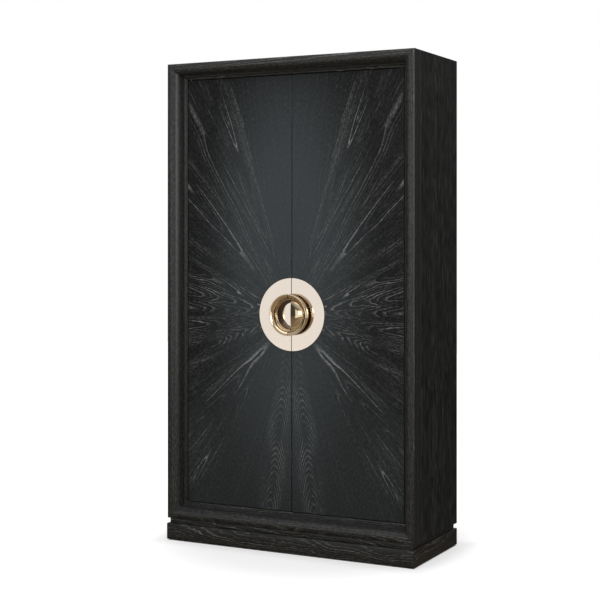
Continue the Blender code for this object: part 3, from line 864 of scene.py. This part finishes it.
@dataclass
class RoundPull:
    """One door's half of the plate and pull: the plate, the flanged ring, and a cup or a dome inside."""

    side: Side
    plate_finish: Finish
    brass: Finish
    cup_finish: Finish
    centre_height: float = 0.998
    half_gap: float = 0.0015
    plate_radius: float = 0.1545
    plate_thickness: float = 0.002
    plate_edge: float = 0.0006
    ring_outer: float = 0.0875
    ring_neck: float = 0.072
    ring_inner: float = 0.0642
    ring_front: float = 0.038
    ring_undercut: float = 0.0165
    ring_edge: float = 0.002
    bead_radius: float = 0.0018
    bead_height: float = 0.0070
    lip_steps: int = 28
    lip_fullness: float = 0.62
    lip_slope: float = 0.20
    cup_height: float = 0.0070
    cup_lip: float = 0.0007
    cup_floor: float = 0.052
    cup_depth: float = 0.0185
    cup_base: float = 0.0012
    dome_front: float = 0.0242
    dome_shoulder: float = 0.0055
    cushion_width: float = 0.055
    cushion_edge: float = 0.50
    seat_gap: float = 0.0003
    edge_steps: int = 8
    neck_steps: int = 6
    bead_steps: int = 12
    rim_steps: int = 5
    crown_steps: int = 36
    turn_steps: int = 180

    def ring_profile(self) -> list[Pair]:
        """The ring's section: outer wall, undercut, neck, bead and rounded lip."""
        edge, outer, neck, inner = self.ring_edge, self.ring_outer, self.ring_neck, self.ring_inner
        bead_centre = (inner + self.bead_radius, self.bead_height)
        lip_width = outer - edge - inner - 2 * self.bead_radius
        profile = arc((outer - edge, self.ring_front - edge), edge, edge, 90, 0, self.edge_steps)
        profile += arc((outer - edge, self.ring_undercut + edge), edge, edge, 0, -90, self.edge_steps)
        profile += arc((neck + edge, self.ring_undercut - edge), -edge, edge, 90, 0, self.neck_steps)
        profile += [(neck, self.seat_gap), (inner, self.seat_gap)]
        profile += arc(bead_centre, self.bead_radius, self.bead_radius, 180, 0, self.bead_steps)
        fall = self.lip_slope * lip_width
        rise = self.ring_front - self.bead_height - fall
        for step in range(1, self.lip_steps):
            turn = step / self.lip_steps * math.pi / 2
            across, up = (part**self.lip_fullness for part in (math.cos(turn), math.sin(turn)))
            height = self.bead_height + rise * up + fall * (1.0 - across)
            profile.append((outer - edge - lip_width * across, height))
        return profile

    def plate_profile(self) -> list[Pair]:
        """The plate's section, out and back. The left half has a hole that the cup goes through."""
        edge, radius, thickness = self.plate_edge, self.plate_radius, self.plate_thickness
        hole = self.ring_inner if self.side is Side.LEFT else 0.0
        rim = arc((radius - edge, thickness - edge), edge, edge, 90, 0, self.rim_steps)
        return [(hole, thickness), *rim, (radius, 0.0), (hole, 0.0)]

    def cup_wall_profile(self) -> list[Pair]:
        """The section of the cup's wall, which narrows towards its floor."""
        outer = self.ring_inner - self.seat_gap
        under = -self.cup_depth - self.cup_base
        return [
            (outer, self.cup_height),
            (outer, under),
            (self.cup_floor, under),
            (self.cup_floor, -self.cup_depth),
            (outer - self.cup_lip, self.cup_height),
        ]

    def cup_floor_profile(self) -> list[Pair]:
        """The section of the disc that is the cup's floor."""
        outer = self.cup_floor - self.seat_gap
        under = -self.cup_depth - self.cup_base
        return [(0.0, -self.cup_depth), (outer, -self.cup_depth), (outer, under), (0.0, under)]

    def dome_profile(self) -> list[Pair]:
        """The section of the closed half's low dome."""
        outer = self.ring_inner - self.seat_gap
        height = self.dome_front - self.dome_shoulder
        crown = arc((0.0, self.dome_shoulder), outer, height, 90, 0, self.crown_steps)
        return [(0.0, self.dome_front), *crown[1:], (outer, self.seat_gap), (0.0, self.seat_gap)]

    def turned_half(self, profile: list[Pair], back: float) -> Shape:
        """Spin a section about the pull's axis and keep this door's half of it.

        Args:
            profile: Points of radius and height over the back.
            back: The Y of height 0.

        Returns:
            The half's closed shape.
        """
        shape = bmesh.new()
        centre = Vector((0.0, back, self.centre_height))
        points = [shape.verts.new(centre + Vector((radius, -height, 0.0))) for radius, height in profile]
        pairs = list(zip(points, points[1:]))
        if profile[0][0] > 0.0:
            pairs.append((points[-1], points[0]))
        for first, second in pairs:
            shape.edges.new((first, second))
        bmesh.ops.spin(
            shape, geom=[*shape.verts, *shape.edges], cent=centre, axis=FRONT_VIEW, angle=math.tau,
            steps=self.turn_steps, use_merge=True,
        )
        bmesh.ops.remove_doubles(shape, verts=shape.verts, dist=MERGE_DISTANCE)
        keep = self.side.value
        cut = bmesh.ops.bisect_plane(
            shape, geom=[*shape.verts, *shape.edges, *shape.faces], dist=MERGE_DISTANCE,
            plane_co=(keep * self.half_gap, 0.0, 0.0), plane_no=(-keep, 0.0, 0.0), clear_outer=True,
        )["geom_cut"]
        rim = [item for item in cut if isinstance(item, bmesh.types.BMEdge)]
        bmesh.ops.holes_fill(shape, edges=rim, sides=0)
        bmesh.ops.recalc_face_normals(shape, faces=shape.faces)
        return shape

    def round_cut_edge(self, shape: Shape, back: float) -> None:
        """Round the dome off towards the split, so that it bulges like a cushion.

        Args:
            shape: The dome's half.
            back: The Y of height 0.
        """
        for vert in shape.verts:
            height = back - vert.co.y
            share = min(1.0, (abs(vert.co.x) - self.half_gap) / self.cushion_width)
            rise = self.cushion_edge + (1.0 - self.cushion_edge) * math.sin(share * math.pi / 2)
            vert.co.y = back - self.seat_gap - (height - self.seat_gap) * rise

    def build(self) -> list[bpy.types.Object]:
        """Build the half's pieces in place of their solids, and return them."""
        word = self.side.word
        body = f"door_{word}"
        front, back = (place.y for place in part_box(f"plate_{word}"))
        plate, brass = (self.plate_finish, "champagne_plate"), (self.brass, "polished_brass")
        cup = (self.cup_finish, "polished_brass")
        halves = [
            (f"round_plate_{word}", self.plate_profile(), back, plate, f"plate_{word}", 5.0),
            (f"pull_flange_{word}", self.ring_profile(), front, brass, f"pull_ring_{word}", 24.0),
        ]
        if self.side is Side.LEFT:
            halves.append(("pull_cup_wall", self.cup_wall_profile(), front, cup, "pull_dish_left", 32.0))
            halves.append(("pull_cup_floor", self.cup_floor_profile(), front, plate, "plate_left", 5.0))
        else:
            halves.append(("pull_dome_crown", self.dome_profile(), front, brass, "pull_dome_right", 32.0))
        pieces = []
        for name, profile, rests_on, (finish, slot), node, sharp_deg in halves:
            shape = self.turned_half(profile, rests_on)
            if node == "pull_dome_right":
                self.round_cut_edge(shape, rests_on)
            pieces.append(as_piece(name, shape, finish, [node], body, sharp_deg))
        return pieces


@dataclass
class Carcass:
    """The box behind the moulding, its shelves and stops, all shown as their solids with their own oak."""

    nodes: dict[str, bpy.types.Object]
    side_heart: Pair = (-0.52, 0.80)
    top_heart: Pair = (0.03, 0.11)
    level_heart: Pair = (0.06, -0.09)
    front_heart: Pair = (0.0, 0.12)
    back_heart: Pair = (0.12, 0.10)

    def build(self) -> None:
        """Dress the boards."""
        # On the sides the light grazes the grain, so that only long soft flecks show: coarser pores still.
        for side in Side:
            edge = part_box(f"side_panel_{side.word}")[1 if side is Side.RIGHT else 0].x
            oak = CerusedOak(
                f"oak_side_{side.word}_ebonised_limed", Grain.UP_ON_SIDE,
                (self.side_heart[0], edge * self.side_heart[1]), taper=0.012, ring_width=0.010,
                ripple=0.012, strength=0.55, fine_pores=0.17, stain="#141513", sheen=0.21,
                figure=OakFigure(pore_rate=(150.0, 14.0)), seed=23.0 + side.value,
            )
            dress(self.nodes[f"side_panel_{side.word}"], oak.build())
        top_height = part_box("top_panel")[1].z
        heart = (self.top_heart[0], top_height - self.top_heart[1])
        top = CerusedOak("oak_top_ebonised_limed", Grain.LEVEL_ON_TOP, heart, taper=0.03, seed=31.0)
        dress(self.nodes["top_panel"], top.build())
        level = ("deck_panel", "shelf_low", "shelf_middle", "shelf_high")
        inner = (level[0], "head_rail", *level[1:], "door_stop_top", "door_stop_bottom")
        for seed, name in enumerate(inner):
            grain = Grain.LEVEL_ON_TOP if name in level else Grain.LEVEL_ON_FRONT
            low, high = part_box(name)
            middle = (low + high) / 2
            if grain is Grain.LEVEL_ON_TOP:
                heart = (middle.y + self.level_heart[0], middle.z + self.level_heart[1])
            else:
                heart = (middle.z + self.front_heart[0], middle.y + self.front_heart[1])
            oak = CerusedOak(
                f"oak_{name}_ebonised", grain, heart, taper=0.03, strength=0.30, fine_pores=0.06,
                stain="#161616", lime="#6F706C", seed=41.0 + seed,
            )
            dress(self.nodes[name], oak.build())
        back = CerusedOak(
            "oak_faced_ply_back_ebonised", Grain.UP_ON_FRONT, self.back_heart, taper=0.05,
            ring_width=0.009, ripple=0.012, strength=0.25, fine_pores=0.05, stain="#171716",
            lime="#6A6A66", roughness=0.58, seed=61.0,
        )
        dress(self.nodes["back_panel"], back.build())


@dataclass
class Fittings:
    """The small metal and nylon pieces, shown as their solids."""

    nodes: dict[str, bpy.types.Object]

    def build(self) -> None:
        """Dress the pivots, pins, screws, catches and glides."""
        brass = PolishedMetal("brass_satin_aged", "#7C684C", roughness=0.36, wipe_scale=180.0).build()
        zinc = PolishedMetal("steel_zinc_plated", "#B9BCC0", roughness=0.30, wipe_scale=220.0).build()
        nickel = PolishedMetal("magnet_nickel_plated", "#C9C6BF", roughness=0.22, wipe_scale=160.0).build()
        nylon = MouldedNylon().build()
        finishes = {
            "shelf_pin": brass,
            "fixed_leaf": brass,
            "door_leaf": brass,
            "pull_screw": zinc,
            "strike": zinc,
            "magnet": nickel,
            "glide": nylon,
        }
        for name, node in self.nodes.items():
            for start, finish in finishes.items():
                if name.startswith(start):
                    dress(node, finish)


@dataclass(frozen=True)
class SoftLight:
    """A soft box: where it hangs, what it points at, its size in metres, and what it lights."""

    name: str
    place: tuple[float, float, float]
    target: tuple[float, float, float]
    size: Pair
    radiance: float
    lights_diffuse: bool = True
    spares_doors: bool = False

    def build(self) -> bpy.types.Object:
        """Hang the light. Its power is worked out from its brightness and its size."""
        lamp = bpy.data.lights.new(self.name, "AREA")
        lamp.shape = "RECTANGLE"
        lamp.size, lamp.size_y = self.size
        lamp.energy = self.radiance * math.pi * self.size[0] * self.size[1]
        light = bpy.data.objects.new(self.name, lamp)
        light.location = self.place
        aim = Vector(self.target) - Vector(self.place)
        light.rotation_euler = aim.to_track_quat("-Z", "Y").to_euler()
        light.visible_camera = False
        light.visible_diffuse = self.lights_diffuse
        bpy.context.scene.collection.objects.link(light)
        return light


@dataclass
class Studio:
    """The pale floor, the room, the soft lights and the camera."""

    polished: list[bpy.types.Object]
    doors: list[bpy.types.Object]
    camera_place: tuple[float, float, float] = (2.666, -5.2795, 1.337)
    camera_turn_deg: float = 27.24
    lens_mm: float = 81.66
    camera_shift: float = -0.1092
    sensor_mm: float = 36.0
    floor_size: float = 18.0
    wall_turn_deg: float = 6.0
    wall_edge: Pair = (0.66, 0.76)
    wall_top: Pair = (0.10, 0.19)
    wall_glow: float = 1.0
    side_glow: float = 0.06
    ceiling_edge: Pair = (0.12, 0.40)
    ceiling_glow: float = 0.50
    zenith_edge: Pair = (0.55, 0.95)
    zenith_share: float = 0.5
    fill_glow: float = 0.30
    floor_glow: float = 0.62
    floor_glow_edge: Pair = (0.42, 1.05)
    floor_far_edge: Pair = (5.5, 7.5)
    floor_seen: str = "#C8C8C7"
    floor_tone: str = "#AC9A84"
    floor_tone_behind: str = "#3A3733"
    floor_behind_edge: Pair = (-0.3, 0.4)
    floor_roughness: float = 0.8
    # Painted shadow on the floor's glow: none under the cabinet, and dimmer close round the plinth.
    footprint: Pair = (0.582, 0.240)
    painted_shadow_reach: float = 0.12
    painted_shadow_share: float = 0.80
    lights: tuple[SoftLight, ...] = (
        SoftLight("front_box", (0.1, -4.8, 1.35), (0.0, 0.0, 1.1), (1.4, 1.0), 2.3),
        SoftLight("key_box", (1.4, -4.7, 1.55), (0.0, 0.0, 1.2), (1.3, 1.0), 3.9),
        SoftLight("side_box", (3.3, -1.2, 1.9), (0.0, 0.0, 1.4), (1.5, 2.4), 8.6, False),
        SoftLight("low_strip", (-2.2, -4.5, 1.75), (0.0, 0.0, 0.2), (2.4, 0.6), 5.0, False, True),
        SoftLight("top_box", (0.0, -2.0, 4.4), (0.0, 0.0, 1.2), (4.4, 3.4), 1.2),
    )

    def build(self) -> None:
        """Set the floor, the room, the lights and the camera."""
        self.build_floor()
        self.build_room()
        for light in self.lights:
            self.flag(light.build(), light)
        self.build_camera()
        bpy.context.scene.view_settings.view_transform = "Standard"

    def flag(self, lamp: bpy.types.Object, light: SoftLight) -> None:
        """Keep a box that only shapes the sheen of the wood off the polished metal, or off the doors too.

        Args:
            lamp: The hung light.
            light: Its description.
        """
        if light.lights_diffuse:
            return
        spared = bpy.data.collections.new(f"{light.name}_spares")
        for piece in self.polished + (self.doors if light.spares_doors else []):
            spared.objects.link(piece)
        lamp.light_linking.receiver_collection = spared
        for entry in spared.collection_objects:
            entry.light_linking.link_state = "EXCLUDE"

    def build_floor(self) -> None:
        """Lay the pale floor, which shows white to the camera and keeps the shadow."""
        shape = bmesh.new()
        bmesh.ops.create_grid(shape, x_segments=1, y_segments=1, size=self.floor_size / 2)
        floor = placed("studio_floor", shape)
        material, tree, shader = new_shader("floor_vinyl_matt_pale")
        shader.inputs["Roughness"].default_value = self.floor_roughness
        paths = add(tree, "ShaderNodeLightPath").node.outputs
        seen, mirrored = paths["Is Camera Ray"], paths["Is Glossy Ray"]
        where = object_place(tree)
        behind = remap(tree, axes(tree, where)["Y"], self.floor_behind_edge, (0.0, 1.0))
        unseen = blend(tree, behind, linear(self.floor_tone), linear(self.floor_tone_behind))
        tone = blend(tree, seen, unseen, linear(self.floor_seen))
        tree.links.new(tone, shader.inputs["Base Color"])
        radius = add(tree, "ShaderNodeVectorMath", {"operation": "LENGTH"}, {0: where}, "Value")
        glow = remap(tree, radius, self.floor_glow_edge, (self.floor_glow, 1.0), smooth=True)
        far_glow = remap(tree, radius, self.floor_far_edge, (0.0, self.wall_glow), smooth=True)
        bearing = add(tree, "ShaderNodeVectorMath", {"operation": "NORMALIZE"}, {0: where}, "Vector")
        far_glow = calc(tree, "MULTIPLY", far_glow, self.in_front(tree, bearing))
        glow = calc(tree, "MULTIPLY", glow, self.painted_plinth_shadow(tree, where))
        glow = calc(tree, "MULTIPLY", seen, glow)
        glow = calc(tree, "MULTIPLY_ADD", mirrored, far_glow, glow)
        shader.inputs["Emission Color"].default_value = linear("#FFFFFF")
        tree.links.new(glow, shader.inputs["Emission Strength"])
        floor.data.materials.append(material)

    def in_front(self, tree: Tree, direction: Socket) -> Socket:
        """Tell the directions of the white wall from the others.

        Args:
            tree: The tree that takes the nodes.
            direction: The direction, of length 1.

        Returns:
            1 towards the wall and 0 elsewhere.
        """
        turn = math.radians(self.wall_turn_deg)
        ahead = (math.sin(turn), -math.cos(turn), 0.0)
        facing = {0: direction, 1: ahead}
        facing = add(tree, "ShaderNodeVectorMath", {"operation": "DOT_PRODUCT"}, facing, "Value")
        return remap(tree, facing, self.wall_edge, (0.0, 1.0), smooth=True)

    def painted_plinth_shadow(self, tree: Tree, where: Socket) -> Socket:
        """Paint a soft shadow into the floor's glow close to the plinth, and put the glow out under the
        cabinet as painted shade, where no light reaches.

        Args:
            tree: The floor's tree.
            where: The place on the floor.

        Returns:
            The share of the glow that is left.
        """
        outside = []
        split = axes(tree, where)
        for axis, reach in zip("XY", self.footprint):
            off = calc(tree, "ABSOLUTE", split[axis])
            outside.append(calc(tree, "SUBTRACT", off, reach))
        clear = calc(tree, "MAXIMUM", outside[0], outside[1])
        lit = calc(tree, "GREATER_THAN", clear, 0.0)
        share = remap(tree, clear, (0.0, self.painted_shadow_reach), (self.painted_shadow_share, 1.0), smooth=True)
        return calc(tree, "MULTIPLY", share, lit)

    def build_room(self) -> None:
        """Make the room: white to the camera, and for gloss a white wall, a ceiling and dark sides."""
        world = bpy.data.worlds.new("studio_room")
        world.use_nodes = True
        bpy.context.scene.world = world
        tree = world.node_tree
        background = tree.nodes["Background"]
        direction = add(tree, "ShaderNodeTexCoord", output="Generated")
        height = axes(tree, direction)["Z"]
        wide = calc(tree, "MULTIPLY", self.in_front(tree, direction), self.wall_glow)
        low = remap(tree, height, self.wall_top, (1.0, 0.0), smooth=True)
        wall = calc(tree, "MULTIPLY", wide, low)
        ceiling = remap(tree, height, self.ceiling_edge, (self.side_glow, self.ceiling_glow), smooth=True)
        zenith = remap(tree, height, self.zenith_edge, (1.0, self.zenith_share), smooth=True)
        mirrored = calc(tree, "MAXIMUM", wall, calc(tree, "MULTIPLY", ceiling, zenith))
        paths = add(tree, "ShaderNodeLightPath").node.outputs
        single = {"data_type": "FLOAT"}
        scattered = {"Factor": paths["Is Diffuse Ray"], "A": mirrored, "B": self.fill_glow}
        scattered = add(tree, MIX, single, scattered)
        strength = {"Factor": paths["Is Camera Ray"], "A": scattered, "B": 1.0}
        strength = add(tree, MIX, single, strength)
        tree.links.new(strength, background.inputs["Strength"])
        background.inputs["Color"].default_value = linear("#FFFFFF")

    def build_camera(self) -> None:
        """Place the camera at the photograph's angle: level, with a rise that keeps the uprights parallel."""
        camera = bpy.data.cameras.new("camera")
        camera.lens = self.lens_mm
        camera.sensor_width = self.sensor_mm
        camera.shift_y = self.camera_shift
        eye = bpy.data.objects.new("camera", camera)
        eye.location = self.camera_place
        eye.rotation_euler = (math.radians(90), 0.0, math.radians(self.camera_turn_deg))
        bpy.context.scene.collection.objects.link(eye)
        bpy.context.scene.camera = eye


def main() -> None:
    """Build the cabinet's looks and the studio."""
    logging.basicConfig(level=logging.INFO, format="%(name)s: %(message)s")
    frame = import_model()
    nodes = frame["nodes"]
    brass = PolishedMetal(
        "brass_polished_lacquered", "#E6D1B0", roughness=0.06, wipe_share=0.02, unevenness=0.000004
    )
    # The cup's wall is a dull, dark brass: its darkness is painted shade and dark reflection inside the cup.
    cup_brass = PolishedMetal("brass_cup_dark_painted_shade", "#7A6E62", roughness=0.40, wipe_scale=180.0)
    champagne = PolishedChampagne().build()
    veneer = SunburstVeneer().build()
    Carcass(nodes).build()
    PictureFrame().build()
    Base().build()
    polished, doors = [], []
    finishes = (champagne, brass.build(), cup_brass.build())
    for side in Side:
        edge_oak = CerusedOak(
            f"oak_door_edge_{side.word}_ebonised", Grain.UP_ON_FRONT, (side.value * 0.70, 0.05),
            strength=0.35, ring_width=0.006, seed=71.0 + side.value,
        ).build()
        doors.append(SunburstDoor(side, veneer, edge_oak).build())
        polished += RoundPull(side, *finishes).build()
    Fittings(nodes).build()
    Studio(polished, doors).build()


if __name__ == "__main__":
    main()
